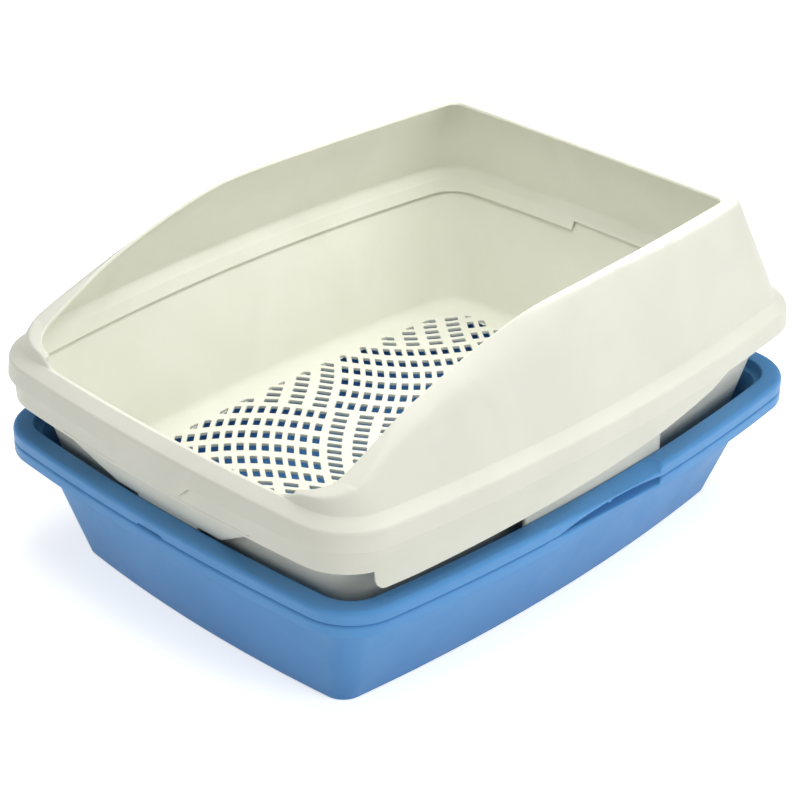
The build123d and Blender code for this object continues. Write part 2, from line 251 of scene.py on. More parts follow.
def solid_strip(bm, rings):
    """A closed section swept along an open run of stations, with both ends closed."""
    rows = [[bm.verts.new(point / MM) for point in ring] for ring in rings]
    for low, high in zip(rows, rows[1:] + rows[:1]):
        for i in range(len(low) - 1):
            bm.faces.new((low[i], low[i + 1], high[i + 1], high[i]))
    bm.faces.new([row[0] for row in rows])
    bm.faces.new([row[-1] for row in rows])


def piece_from(bm, name, body, material, replaced):
    """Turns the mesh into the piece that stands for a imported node."""
    bmesh.ops.remove_doubles(bm, verts=bm.verts, dist=2e-6)
    bmesh.ops.recalc_face_normals(bm, faces=bm.faces)
    mesh = bpy.data.meshes.new(name)
    bm.to_mesh(mesh)
    bm.free()
    mesh.shade_smooth()
    mesh.materials.append(material)
    made = bpy.data.objects.new(name, mesh)
    bpy.context.scene.collection.objects.link(made)
    weighted = made.modifiers.new("even_shading", "WEIGHTED_NORMAL")
    weighted.weight = 60
    weighted.keep_sharp = True
    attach(made, body)
    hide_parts(replaced)
    return made


# Materials


def linear(hex_colour):
    """An sRGB hex colour as linear red, green, blue and alpha."""
    parts = [int(hex_colour[i:i + 2], 16) / 255 for i in (1, 3, 5)]
    return tuple(p / 12.92 if p <= 0.04045 else ((p + 0.055) / 1.055) ** 2.4 for p in parts) + (1.0,)


def add_node(tree, kind, inputs=(), **settings):
    """Adds a node with its settings; an input given as a socket is linked, any other is set."""
    made = tree.nodes.new(kind)
    for name, value in settings.items():
        setattr(made, name, value)
    for key, value in dict(inputs).items():
        if isinstance(value, bpy.types.NodeSocket):
            tree.links.new(value, made.inputs[key])
        else:
            made.inputs[key].default_value = value
    return made


def moulded_polypropylene(name, colour, shade, roughness, soak):
    """Injection-moulded polypropylene: waxy and satin, a little light soaks in under the skin.

    The eye gets soft wide highlights, faint cloudy flow marks a hand wide, and the fine
    spark-eroded grain of the mould, whose real 0.3 mm is drawn at 1.2 mm so that it shows.
    """
    material = bpy.data.materials.new(name)
    material.use_nodes = True
    tree = material.node_tree
    tree.nodes.clear()
    place = add_node(tree, "ShaderNodeTexCoord").outputs["Object"]
    flow = add_node(tree, "ShaderNodeTexNoise", {
        "Vector": place, "Scale": 11.0, "Detail": 3.0, "Roughness": 0.55, "Distortion": 0.8})
    flow_amount = add_node(tree, "ShaderNodeMapRange", {
        "Value": flow.outputs["Fac"], "From Min": 0.35, "From Max": 0.7, "To Min": 0.0, "To Max": 1.0})
    tint = add_node(tree, "ShaderNodeMix", {
        "Factor": flow_amount.outputs["Result"], 6: linear(colour), 7: linear(shade)}, data_type="RGBA")
    grain = add_node(tree, "ShaderNodeTexNoise", {
        "Vector": place, "Scale": 830.0, "Detail": 2.0, "Roughness": 0.6})
    scuffs = add_node(tree, "ShaderNodeTexNoise", {
        "Vector": place, "Scale": 46.0, "Detail": 6.0, "Roughness": 0.65})
    gloss = add_node(tree, "ShaderNodeMapRange", {
        "Value": scuffs.outputs["Fac"], "From Min": 0.3, "From Max": 0.75,
        "To Min": roughness - 0.05, "To Max": roughness + 0.07})
    sink = add_node(tree, "ShaderNodeTexNoise", {
        "Vector": place, "Scale": 17.0, "Detail": 1.5, "Roughness": 0.4})
    waves = add_node(tree, "ShaderNodeBump", {
        "Height": sink.outputs["Fac"], "Strength": 0.22, "Distance": 0.0022})
    skin_bump = add_node(tree, "ShaderNodeBump", {
        "Height": grain.outputs["Fac"], "Normal": waves.outputs["Normal"],
        "Strength": 0.16, "Distance": 0.00012})
    shader = add_node(tree, "ShaderNodeBsdfPrincipled", {
        "Base Color": tint.outputs[2], "Roughness": gloss.outputs["Result"],
        "Normal": skin_bump.outputs["Normal"], "IOR": 1.49, "Specular IOR Level": 0.28,
        "Subsurface Weight": soak, "Subsurface Radius": (1.0, 0.9, 0.75), "Subsurface Scale": 0.0016})
    add_node(tree, "ShaderNodeOutputMaterial", {"Surface": shader.outputs["BSDF"]})
    return material


def plastic(kind):
    """The finish of a slot, made once."""
    finishes = bpy.context.scene.pan_finishes
    name = "moulded_polypropylene_" + kind
    if name in bpy.data.materials:
        return bpy.data.materials[name]
    if kind == "blue":
        return moulded_polypropylene(name, finishes.blue, finishes.blue_shade, finishes.roughness, 0.08)
    return moulded_polypropylene(name, finishes.cream, finishes.cream_shade, finishes.roughness, 0.15)


# Sizes and colours that a user would change


def length(label, default, description):
    return bpy.props.FloatProperty(name=label, description=description, default=default / MM,
                                   min=0.0, unit="LENGTH", subtype="DISTANCE", precision=4)


def hex_text(label, default, description):
    return bpy.props.StringProperty(name=label, description=description, default=default)


class PanFinishes(bpy.types.PropertyGroup):
    """Colours and gloss of the two plastics."""
    blue: hex_text("Blue", "#5E9CD6", "Colour of the catch pans, as sRGB hex")
    blue_shade: hex_text("Blue shade", "#5795CF", "Darker clouds in the blue, as sRGB hex")
    cream: hex_text("Cream", "#E2E2D6", "Colour of the sifting pan and the frame, as sRGB hex")
    cream_shade: hex_text("Cream shade", "#DCDDD0", "Darker clouds in the cream, as sRGB hex")
    roughness: bpy.props.FloatProperty(name="Roughness", description="Mean roughness of the moulded skin",
                                       default=0.42, min=0.05, max=1.0)


class CatchPanSizes(bpy.types.PropertyGroup):
    """Catch pan: one moulding, used twice."""
    wall: length("Wall", 2.0, "Thickness of walls, floor and rim")
    land: length("Rim width", 14.5, "Width of the rim's top")
    skirt: length("Skirt drop", 9.3, "How far the skirt hangs below the rim's top")
    ledge: length("Ledge drop", LEDGE_DROP, "How far the inner ledge lies below the rim's top")
    ledge_width: length("Ledge width", 5.0, "Width of the inner ledge")
    rim_round: length("Rim round", 4.0, "Rounding of the rim's outer edge")
    grip_half: length("Finger hold half length", 54.0, "Half the length of each finger hold")
    grip_rise: length("Finger hold rise", 5.5, "How far the skirt arches up over the fingers")
    grip_depth: length("Thumb rest depth", 5.5, "Depth of the thumb rest at its deep end")
    pry_half: length("Pry slot half length", 12.5, "Half the length of each pry slot")
    pry_rise: length("Pry slot rise", 1.6, "How far a pry slot cuts up into the skirt")


class TraySizes(bpy.types.PropertyGroup):
    """Sifting pan."""
    wall: length("Wall", 2.5, "Thickness of walls, floor and rim")
    depth: length("Depth", 101.0, "From the rim's top to the underside of the floor")
    apron_side: length("Side apron drop", 44.0, "How far the long sides' aprons hang down")
    apron_front: length("Front apron drop", 29.5, "How far the apron hangs down round the front")
    apron_back: length("Plain apron drop", 9.5, "How far the rest of the apron hangs down")
    slot_width: length("Slot width", 5.3, "Width of one sieve slot")
    slot_length: length("Slot length", 10.6, "Length of one sieve slot")
    slot_round: length("Slot round", 0.8, "Corner radius of a sieve slot")


class GuardSizes(bpy.types.PropertyGroup):
    """Frame that guards against thrown litter."""
    wall: length("Wall", 2.5, "Thickness of the leaning wall")
    skirt: length("Skirt drop", 12.0, "How far the skirt hangs below the sifting pan's rim")
    dip: length("Skirt dip", 23.5, "How far the skirt hangs at the middle of the short sides")
    draft: length("Skirt draft", 1.5, "How far the skirt leans in up to its shoulder")
    edge: length("Top edge", 3.0, "Height of the face round the hole in the top")
    entry_half: length("Entry half width", 82.0, "Half the width of the low entry's flat part")
    soft: length("Softness", 1.6, "How softly the leaning wall turns into the sloping top")


# Catch pans


def catch_pan_mesh(bm, sizes, base):
    wall, land = MM * sizes.wall, MM * sizes.land
    grip_half, grip_rise = MM * sizes.grip_half, MM * sizes.grip_rise
    pry_half = MM * sizes.pry_half
    top = RIM_TOP
    skirt = top - MM * sizes.skirt
    ledge = top - MM * sizes.ledge
    # the thumb rest starts at the front, widens by a slant and stays inside the rim's border
    rest_start, rest_slant, rest_edge, rest_border = -62.4, 0.171, 2.6, 1.6
    web_half, web_thick = 2.0, 1.2
    foot_round, floor_border = 3.0, 14
    stations = stations_of(RIM, 84, 60, 16,
                           long_marks=(rest_start, -grip_half, -web_half, web_half, grip_half),
                           short_marks=(-pry_half, pry_half))
    rim = Level(RIM, stations)
    base_level = Level(BASE, stations)
    wall_top = Level(RIM.inset(land + MM * sizes.ledge_width - wall), stations)
    outer = Wall(base_level, 0.0, wall_top, ledge)
    count = len(stations)
    x, y = rim.points[:, 0], rim.points[:, 1]
    on_long = np.isin(stations[:, 0], (0, 4))
    on_short = np.isin(stations[:, 0], (2, 6))

    # finger hold: arched skirt edge, web, and a thumb rest that deepens to an end wall
    arch_radius = (grip_half ** 2 + grip_rise ** 2) / (2 * grip_rise)
    in_grip = on_long & (np.abs(y) < grip_half)
    arch = np.where(in_grip, np.sqrt(np.maximum(arch_radius ** 2 - y ** 2, 0)) - arch_radius + grip_rise, 0)
    in_rest = on_long & (y > rest_start) & (y < grip_half)
    run = clamp((y - rest_start) / (grip_half - rest_start))
    depth = np.where(in_rest, MM * sizes.grip_depth * (0.72 * run + 0.28 * run ** 4) * ease(run * 5), 0)
    rest_inset = np.where(in_rest, np.minimum(rest_slant * (y - rest_start) + rest_edge, land - rest_border),
                          land / 2)
    in_web = on_long & (np.abs(y) < web_half)
    pry = np.where(on_short & (np.abs(x) < pry_half), MM * sizes.pry_rise, 0)
    low = skirt + arch + pry
    outer_top = top - depth
    under = np.maximum(outer_top - wall, low + 0.03)
    inner_under = np.full(count, top - wall)
    web_low = skirt + grip_rise / 2
    behind = np.where(in_web, web_thick, wall)
    under = np.where(in_web, web_low, under)
    inner_under = np.where(in_web, web_low, inner_under)

    rows = [
        (outer.at(wall + floor_border, wall), 0, 1),
        (outer.at(wall, wall), foot_round, 5),
        *between(outer, wall, wall + 4, ledge - 2, 6),
        (outer.at(wall, ledge), 0.9, 4),
        (rim.at(land, ledge), 0.7, 3),
        (rim.at(land, top), 1.0, 4),
        (rim.at(rest_inset, top), 0.9, 3),
        (rim.at(0, outer_top), MM * sizes.rim_round - 2.2 * depth / (MM * sizes.grip_depth), 7),
        (rim.at(0, low), 0.5, 3),
        (rim.at(behind, low), 0.4, 3),
        (rim.at(behind, under), 0.8, 3),
        (rim.at(land - wall, inner_under), 0.8, 3),
        (rim.at(land - wall, ledge - wall), 0.8, 3),
        (outer.at(0, ledge - wall), 0.8, 3),
        *between(outer, 0, ledge - 4, 4, 6),
        (outer.at(0, 0.0), foot_round, 5),
        (outer.at(floor_border + 2, 0.0), 0, 1),
    ]
    rings = [ring + np.array([0, 0, base]) for ring in rounded(rows)]
    skin(bm, rings, closed=False, caps=True)


class MESH_OT_catch_pans(bpy.types.Operator):
    """Moulds both nested catch pans, with their finger holds and pry slots"""
    bl_idname = "mesh.litter_catch_pans"
    bl_label = "Catch pans"

    def execute(self, context):
        sizes = context.scene.catch_pan_sizes
        for node, body, base in (("lower_catch_pan", "lower_pan", MM * pan_low.z),
                                 ("upper_catch_pan", "upper_pan", MM * nested_low.z)):
            bm = bmesh.new()
            catch_pan_mesh(bm, sizes, base)
            piece_from(bm, node + "_moulding", body, plastic("blue"), node)
        return {"FINISHED"}


# Sifting pan


# The sieve: square cells of a basket weave, its waves, the slots across and along a cell, and its border
CELL = 109.3
CELL_REACH = 3
WAVE_ACROSS, WAVE_ALONG = 5.9, 9.6
SLOT_COUNTS = (12, 6)
SMALLEST_SLOT = 12
SIEVE = Outline(134.0, 192.0, 11.0, 7.5, 24.0)
# The apron's lower edge: where the deep side part starts and ends, and the end part's half lengths
APRON_FRONT, APRON_BACK = -206.0, 146.0
END_HALF_LOW, END_HALF_TOP = 91.0, 100.0


def wavy(u, v):
    """The weave's lines wave by half a period in each cell, and the weave stands on its corner."""
    along = u + WAVE_ACROSS * math.sin(math.pi * v / CELL)
    up = v - WAVE_ALONG * math.sin(math.pi * u / CELL)
    turn = math.sqrt(0.5)
    return turn * (along - up) - CELL * turn, turn * (along + up)


def inside_sieve(x, y):
    half_x, half_y, bow_x, bow_y, corner = SIEVE.size
    edge_x = half_x - bow_x * (y / half_y) ** 2
    edge_y = half_y - bow_y * (x / half_x) ** 2
    if abs(x) > edge_x or abs(y) > edge_y:
        return False
    beyond_x = abs(x) - (edge_x - corner)
    beyond_y = abs(y) - (edge_y - corner)
    return beyond_x < 0 or beyond_y < 0 or math.hypot(beyond_x, beyond_y) < corner


def clipped(corners):
    """A slot cut off where it crosses the sieve's border."""
    kept = []
    for (ax, ay), (bx, by) in zip(corners, corners[1:] + corners[:1]):
        a_in, b_in = inside_sieve(ax, ay), inside_sieve(bx, by)
        if a_in:
            kept.append((ax, ay))
        if a_in != b_in:
            low, high = (0.0, 1.0) if a_in else (1.0, 0.0)
            for _ in range(18):
                middle = (low + high) / 2
                if inside_sieve(ax + (bx - ax) * middle, ay + (by - ay) * middle):
                    low = middle
                else:
                    high = middle
            kept.append((ax + (bx - ax) * low, ay + (by - ay) * low))
    return kept


def area_of(corners):
    return 0.5 * sum(ax * by - bx * ay for (ax, ay), (bx, by) in zip(corners, corners[1:] + corners[:1]))


def sieve_slots(width, long):
    """Corners of every slot, where neighbouring cells lie crosswise."""
    slots = []
    for row in range(-CELL_REACH, CELL_REACH + 1):
        for column in range(-CELL_REACH, CELL_REACH + 1):
            counts, halves = SLOT_COUNTS, (width / 2, long / 2)
            if (row + column) % 2:
                counts, halves = counts[::-1], halves[::-1]
            for i in range(counts[0]):
                for j in range(counts[1]):
                    u = (column + (i + 0.5) / counts[0]) * CELL
                    v = (row + (j + 0.5) / counts[1]) * CELL
                    corners = [wavy(u + a * halves[0], v + b * halves[1])
                               for a, b in ((-1, -1), (1, -1), (1, 1), (-1, 1))]
                    corners = clipped(corners)
                    if len(corners) > 2 and area_of(corners) > SMALLEST_SLOT:
                        slots.append(corners)
    return slots


def soft_corners(corners, radius, grow):
    """A slot's corners rounded, then moved outward by a grow."""
    points = np.array(corners)
    made = []
    for index, point in enumerate(points):
        back = points[index - 1] - point
        ahead = points[(index + 1) % len(points)] - point
        back_length, ahead_length = np.linalg.norm(back), np.linalg.norm(ahead)
        back, ahead = back / back_length, ahead / ahead_length
        half = 0.5 * math.acos(max(-1.0, min(1.0, float(back @ ahead))))
        cut = min(radius / max(math.tan(half), 1e-6), 0.4 * back_length, 0.4 * ahead_length)
        weight = math.sin(half)
        outward = -(back + ahead)
        outward = outward / max(np.linalg.norm(outward), 1e-9)
        for t in (0.0, 0.5, 1.0):
            first, middle, last = (1 - t) ** 2, 2 * t * (1 - t) * weight, t ** 2
            place = (first * (point + back * cut) + middle * point + last * (point + ahead * cut)) \
                / (first + middle + last)
            # move each rounded point out along its own direction
            side = np.array([-back[1], back[0]]) * (1 - t) + np.array([ahead[1], -ahead[0]]) * t
            if side @ outward < 0:
                side = -side
            side = side / max(np.linalg.norm(side), 1e-9)
            made.append(place + side * grow)
    return made


def pierced_sheet(bm, border, rings, height):
    """A flat sheet with holes: Delaunay triangles between its border and the slots."""
    points = [Vector(p[:2]) for p in border]
    faces = [list(range(len(points)))]
    for ring in rings:
        start = len(points)
        points += [Vector((float(p[0]), float(p[1]))) for p in ring]
        faces.append(list(range(start, start + len(ring))))
    verts, _, triangles, _, _, from_faces = delaunay_2d_cdt(points, [], faces, 1, 1e-6)
    made = [bm.verts.new((v.x / MM, v.y / MM, height / MM)) for v in verts]
    for triangle, source in zip(triangles, from_faces):
        if list(source) == [0]:
            bm.faces.new([made[i] for i in triangle])


def apron_height(x, y, on_short, sizes):
    """Height of the apron's lower edge round the sifting pan."""
    plain = TRAY_TOP - MM * sizes.apron_back
    front = TRAY_TOP - MM * sizes.apron_front
    side = TRAY_TOP - MM * sizes.apron_side
    # long sides: a rounded hook at the front, a level run and a slow rise to the back
    rise = np.interp(y, (APRON_FRONT, -173, -110, -47, 29, 60, 91, 115, 132, APRON_BACK),
                     (0, 0, 2.6, 5.6, 10.4, 13.0, 17.4, 21.5, 27.5, plain - side))
    turn = 8.0
    hook = turn - np.sqrt(np.maximum(turn ** 2 - np.maximum(turn + APRON_FRONT - y, 0) ** 2, 0))
    low = np.where((np.abs(x) > END_HALF_TOP) & (y > APRON_FRONT) & (y < APRON_BACK), side + rise + hook, plain)
    low = np.where(y < APRON_FRONT, front, low)
    # back: level in the middle, and a short slope to the plain height
    out = clamp((np.abs(x) - END_HALF_LOW) / (END_HALF_TOP - END_HALF_LOW))
    return np.where(on_short & (y > 0) & (np.abs(x) < END_HALF_TOP), front + ease(out) * (plain - front), low)


def run_of(outline, arc, half):
    """Stations along the middle of one side of an outline."""
    turn = outline.long_share if arc in (0, 4) else outline.short_share
    shares = turn(-half) + (turn(half) - turn(-half)) * np.linspace(0, 1, 41)
    return Level(outline, np.stack([np.full(len(shares), float(arc)), shares], 1))


def foot_sheet(bm, arc, low, high, thick=2.5):
    """A sheet that follows one side, between (inset, half length, height) at its foot and at its head."""
    wall = Wall(run_of(RIM.inset(low[0]), arc, low[1]), low[2],
                run_of(RIM.inset(high[0]), arc, high[1]), high[2])
    rows = [(wall.at(0, low[2]), 0.6, 3), (wall.at(0, high[2]), 0.6, 3),
            (wall.at(thick, high[2]), 0.6, 3), (wall.at(thick, low[2]), 0.6, 3)]
    solid_strip(bm, rounded(rows))


def rib(bm, side, place, low, high):
    """A short rib between the sifting pan's leaning wall and a long foot."""
    inner_low, inner_high, outer, half, edge = 161.6, 171.0, 172.6, 1.0, 0.3
    made = bmesh.ops.create_cube(bm, size=2.0)["verts"]
    for vertex in made:
        inner, upper = vertex.co.x < 0, vertex.co.z > 0
        x = (inner_high if upper else inner_low) if inner else outer
        vertex.co = Vector((side * x, place + half * vertex.co.y, high if upper else low)) / MM
    bmesh.ops.bevel(bm, geom=list({e for v in made for e in v.link_edges}), offset=edge / MM, segments=2,
                    affect="EDGES", profile=0.5)


class MESH_OT_sifting_pan(bpy.types.Operator):
    """Moulds the sifting pan with its sieve, rim, aprons, feet and ribs"""
    bl_idname = "mesh.litter_sifting_pan"
    bl_label = "Sifting pan"

    def execute(self, context):
        sizes = context.scene.tray_sizes
        wall = MM * sizes.wall
        base = TRAY_TOP - MM * sizes.depth
        floor = base + wall
        stations = stations_of(GUARD, 120, 72, 28, long_marks=(APRON_BACK,),
                               short_marks=(-END_HALF_TOP, -END_HALF_LOW, END_HALF_LOW, END_HALF_TOP),
                               front_marks=(APRON_FRONT, APRON_FRONT + 4.0))
        rim = Level(GUARD, stations)
        x, y = rim.points[:, 0], rim.points[:, 1]
        on_short = np.isin(stations[:, 0], (2, 6))
        outer = Wall(Level(TRAY_BASE, stations), base,
                     Level(GUARD.inset(TRAY_WALL_TOP_INSET), stations), TRAY_TOP - wall)
        apron = apron_height(x, y, on_short, sizes)
        apron_inset, apron_inner = 3.0, 5.3
        draft = 0.05 * (TRAY_TOP - apron)
        border_inset, foot_round = 14.0, 9.0
        rows = [
            (outer.at(wall + border_inset, floor), 0, 1),
            (outer.at(wall, floor), foot_round, 8),
            *between(outer, wall, floor + 10, TRAY_TOP - 3, 8),
            (outer.at(wall, TRAY_TOP), 1.1, 4),
            (rim.at(apron_inset, TRAY_TOP), 1.3, 4),
            (rim.at(apron_inset + draft, apron), 0.6, 3),
            (rim.at(apron_inner + draft, apron), 0.6, 3),
            (rim.at(apron_inner, TRAY_TOP - wall), 0.9, 3),
            (outer.at(0, TRAY_TOP - wall), 0.9, 3),
            *between(outer, 0, TRAY_TOP - 6, base + 14, 8),
            (outer.at(0, base), foot_round + 2.5, 8),
            (outer.at(border_inset + 4, base), 0, 1),
        ]
        bm = bmesh.new()
        rings = rounded(rows)
        skin(bm, rings, closed=False)

        # the floor: two pierced sheets and the slots' walls between them
        slots = sieve_slots(MM * sizes.slot_width, MM * sizes.slot_length)
        radius, chamfer = MM * sizes.slot_round, 0.16
        wide = [soft_corners(corners, radius, chamfer) for corners in slots]
        narrow = [soft_corners(corners, radius, 0.0) for corners in slots]
        pierced_sheet(bm, rings[0], wide, floor)
        pierced_sheet(bm, rings[-1], wide, base)
        for outside, inside in zip(wide, narrow):
            levels = ((outside, floor), (inside, floor - chamfer), (inside, base + chamfer), (outside, base))
            skin(bm, [np.array([(*p, height) for p in ring]) for ring, height in levels], closed=False)

        # feet are (inset, half length, height) low and high: long feet with ribs, on the catch pan's ledge
        ledge = MM * nested_high.z - LEDGE_DROP
        front = TRAY_TOP - MM * sizes.apron_front
        foot_inset, long_half, long_top = 15.0, 69.5, TRAY_TOP - 16.5
        rib_low, rib_high = ledge + 2.0, ledge + 36.0
        for arc, side in ((0, 1), (4, -1)):
            foot_sheet(bm, arc, (foot_inset, long_half, ledge), (foot_inset, long_half, long_top))
            for place in (-50.0, 0.0, 50.0):
                rib(bm, side, place, rib_low, rib_high)
        # end feet: a short upright part on the ledge, and a sheet that slopes up to the apron
        end_half, knee, knee_half = 29.5, ledge + 8.5, 51.5
        sheet_top = (1.4, 92.0, front + 3.0)
        for arc in (2, 6):
            foot_sheet(bm, arc, (foot_inset, end_half, ledge), (foot_inset, end_half, knee + 1.0))
            foot_sheet(bm, arc, (foot_inset, knee_half, knee), sheet_top)
        piece_from(bm, "sifting_pan_moulding", "sifter", plastic("cream"), "sifting_pan")
        return {"FINISHED"}


# Frame


def circle_through(a, b, c):
    """Centre and radius of the circle through three points."""
    a, b, c = (np.array(point) for point in (a, b, c))
    sums = [(b ** 2 - a ** 2).sum(), (c ** 2 - a ** 2).sum()]
    centre = np.linalg.solve(np.array([b - a, c - a]) * 2.0, sums)
    return centre, math.hypot(*(centre - a))


def corner_between(first, second, corner, near):
    """Centre of a corner arc that runs into two larger arcs."""
    (c0, r0), (c1, r1) = first, second
    r0, r1 = r0 - corner, r1 - corner
    apart = c1 - c0
    distance = math.hypot(*apart)
    along = (r0 ** 2 - r1 ** 2 + distance ** 2) / (2 * distance)
    across = math.sqrt(r0 ** 2 - along ** 2)
    unit = apart / distance
    sides = [c0 + unit * along + np.array((-unit[1], unit[0])) * across * sign for sign in (-1, 1)]
    return min(sides, key=lambda p: math.hypot(*(p - np.array(near))))


class Hole(Outline):
    """The hole in the frame's top: narrower at the back, with wide front and tight back corners."""

    def __init__(self):
        front, back, front_bow, back_bow = -219.5, 185.0, 3.5, 2.0
        front_half, middle_half, back_half = 141.0, 142.0, 129.0
        front_corner, back_corner = 20.0, 8.0
        side = circle_through((front_half, front), (middle_half, (front + back) / 2), (back_half, back))
        rear = circle_through((back_half, back), (0.0, back + back_bow), (-back_half, back))
        fore = circle_through((-front_half, front), (0.0, front - front_bow), (front_half, front))
        back_centre = corner_between(side, rear, back_corner, (back_half, back))
        front_centre = corner_between(side, fore, front_corner, (front_half, front))

        def angle(centre, point):
            return math.atan2(point[1] - centre[1], point[0] - centre[0])
        low, high = angle(side[0], front_centre), angle(side[0], back_centre)
        rear_turn = angle(rear[0], back_centre)
        fore_turn = angle(fore[0], front_centre)
        full = 2 * math.pi
        (sx, sy), sr = side
        self.arcs = np.array([
            (sx, sy, sr, low, high),
            (*back_centre, back_corner, high, rear_turn),
            (*rear[0], rear[1], rear_turn, math.pi - rear_turn),
            (-back_centre[0], back_centre[1], back_corner, math.pi - rear_turn, math.pi - high),
            (-sx, sy, sr, math.pi - high, math.pi - low),
            (-front_centre[0], front_centre[1], front_corner, math.pi - low, math.pi - fore_turn),
            (*fore[0], fore[1], math.pi - fore_turn, full + fore_turn),
            (*front_centre, front_corner, full + fore_turn, full + low),
        ])


def swept_top(x, y, entry_half):
    """Height of the frame's swept top surface over a place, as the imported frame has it."""
    corner, knee = TRAY_TOP + 23.0, TRAY_TOP + 44.0
    corner_x, side_start, side_knee, side_full, sweep_x = 140.0, -206.0, -165.0, 20.0, 146.0
    front_fall, sweep_back, sweep_fall, out_of_reach = 0.4, 3.3, 1.75, 1000.0
    x = np.abs(x)
    # front corners: two equal arcs that meet halfway, falling away forward
    run = clamp((x - entry_half) / (corner_x - entry_half))
    half_run, half_rise = (corner_x - entry_half) / 2, (corner - CREASE) / 2
    radius = (half_run ** 2 + half_rise ** 2) / (2 * half_rise)
    first = radius - np.sqrt(radius ** 2 - (clamp(run, 0, 0.5) * 2 * half_run) ** 2)
    last = radius - np.sqrt(radius ** 2 - ((1 - clamp(run, 0.5, 1)) * 2 * half_run) ** 2)
    front = np.where(run < 0.5, CREASE + first, corner - last) - front_fall * (side_start - y)
    # sides: a straight rise and an arc, falling away outward
    out = x - sweep_x
    place = y + sweep_back * out
    drop, run_y = GUARD_TOP - knee, side_full - side_knee
    radius = (run_y ** 2 + drop ** 2) / (2 * drop)
    ahead = clamp(side_full - place, 0.0, run_y)
    arc = GUARD_TOP - radius + np.sqrt(radius ** 2 - ahead ** 2)
    slope = (knee - corner) / (side_knee - side_start)
    side = np.where(place < side_knee, knee + slope * (place - side_knee), arc) - sweep_fall * out
    top = np.where(y < side_start, np.maximum(front, np.where(x > corner_x, side, front)), side)
    return np.where((x < sweep_x) & (y > side_full), out_of_reach, top)


def soft_least(values, soft):
    """The least of several surfaces, rounded where they meet."""
    return -soft * np.logaddexp.reduce([-v / soft for v in values])


class MESH_OT_guard(bpy.types.Operator):
    """Moulds the frame with its skirt, shoulder, leaning wall and the top that turns inward"""
    bl_idname = "mesh.litter_guard"
    bl_label = "Frame"

    def execute(self, context):
        sizes = context.scene.guard_sizes
        wall, edge, draft, soft = MM * sizes.wall, MM * sizes.edge, MM * sizes.draft, MM * sizes.soft
        entry_half = MM * sizes.entry_half
        shoulder, top_drop, grow_over = TRAY_TOP + 1.5, 3.5, 7.0
        # the lip that hangs inside the sifting pan, with a notch at the back, and the seat on that pan's rim
        lip_inset, lip_thick, lip_lean, lip_drop = 16.4, 2.0, 2.8, 10.0
        notch_half, notch_rise, notch_lean = 36.0, 7.0, 0.28
        seat_inset, skirt_inside = 6.5, 2.5
        # the skirt dips over this half width, and is level again at the other
        dip_half, dip_end = 27.0, 44.0
        stations = stations_of(GUARD, 132, 110, 30, short_marks=(-notch_half, notch_half))
        rim = Level(GUARD, stations)
        x, y = rim.points[:, 0], rim.points[:, 1]
        on_short = np.isin(stations[:, 0], (2, 6))
        top_outline = Level(GUARD_TOP_EDGE, stations)
        hole, _ = Hole().at(stations)
        # along the entry the hole's edge is the crease's own inner edge
        height = swept_top(hole[:, 0], hole[:, 1], entry_half)
        grown = ease((height - CREASE) / grow_over)[:, None]
        inner_crease = rim.at(CREASE_INSET + wall, CREASE)[:, :2]
        hole = inner_crease + (hole - inner_crease) * grown

        def top_sheet(inset, lower, shares):
            """Rows from the crease up the leaning wall and over the top to the hole."""
            foot, head = rim.at(CREASE_INSET + inset, CREASE)[:, :2], top_outline.at(inset, 0.0)[:, :2]
            lean = head - foot
            made = []
            for share in shares:
                place = foot + (hole - foot) * share
                along = ((place - foot) * lean).sum(1) / (lean ** 2).sum(1)
                surfaces = (CREASE + along * (GUARD_TOP - CREASE),
                            swept_top(place[:, 0], place[:, 1], entry_half) - lower,
                            np.full(len(place), GUARD_TOP - lower + 0.4 * soft))
                level = np.maximum(soft_least(surfaces, soft), CREASE)
                made.append(np.concatenate([place, level[:, None]], 1))
            return made
        outside = top_sheet(0.0, 0.0, np.linspace(0, 1, 27)[1:])
        under = top_sheet(wall, top_drop, np.linspace(1, 0, 23)[:-1])
        face_low = outside[-1].copy()
        face_low[:, 2] = np.maximum(face_low[:, 2] - edge * grown[:, 0], CREASE)
        under[0] = face_low

        # the skirt dips at the middle of the short sides
        out = clamp((np.abs(x) - dip_half) / (dip_end - dip_half))
        dip = MM * (sizes.dip - sizes.skirt) * (1 - ease(out))
        skirt = TRAY_TOP - MM * sizes.skirt - np.where(on_short, dip, 0)

        notch = np.where(on_short & (y > 0) & (np.abs(x) < notch_half), notch_rise, 0.0)
        lip_low = TRAY_TOP - lip_drop + notch
        lip_foot = lip_inset + lip_lean - notch_lean * notch
        rows = [
            (rim.at(0, skirt), 0.7, 3),
            (rim.at(draft, shoulder), 4.0, 7),
            (rim.at(CREASE_INSET, CREASE), 2.2, 5),
            *[(points, 0, 1) for points in outside[:-1]],
            (outside[-1], 1.3, 4),
            (under[0], 0.9, 3),
            *[(points, 0, 1) for points in under[1:]],
            (rim.at(CREASE_INSET + wall, CREASE), 4.0, 5),
            (rim.at(lip_inset + lip_thick, TRAY_TOP), 3.0, 4),
            (rim.at(lip_foot + lip_thick, lip_low), 0.7, 3),
            (rim.at(lip_foot, lip_low), 0.7, 3),
            (rim.at(lip_inset, TRAY_TOP), 0.6, 3),
            (rim.at(CREASE_INSET, CREASE - 2.9), 0.8, 3),
            (rim.at(seat_inset, TRAY_TOP + 2.6), 0.5, 3),
            (rim.at(seat_inset, TRAY_TOP), 0.4, 2),
            (rim.at(skirt_inside, TRAY_TOP), 0.4, 2),
            (rim.at(skirt_inside, skirt), 0.7, 3),
        ]
        bm = bmesh.new()
        skin(bm, rounded(rows), closed=True)
        piece_from(bm, "frame_moulding", "guard", plastic("cream"), "frame")
        return {"FINISHED"}


# Stage


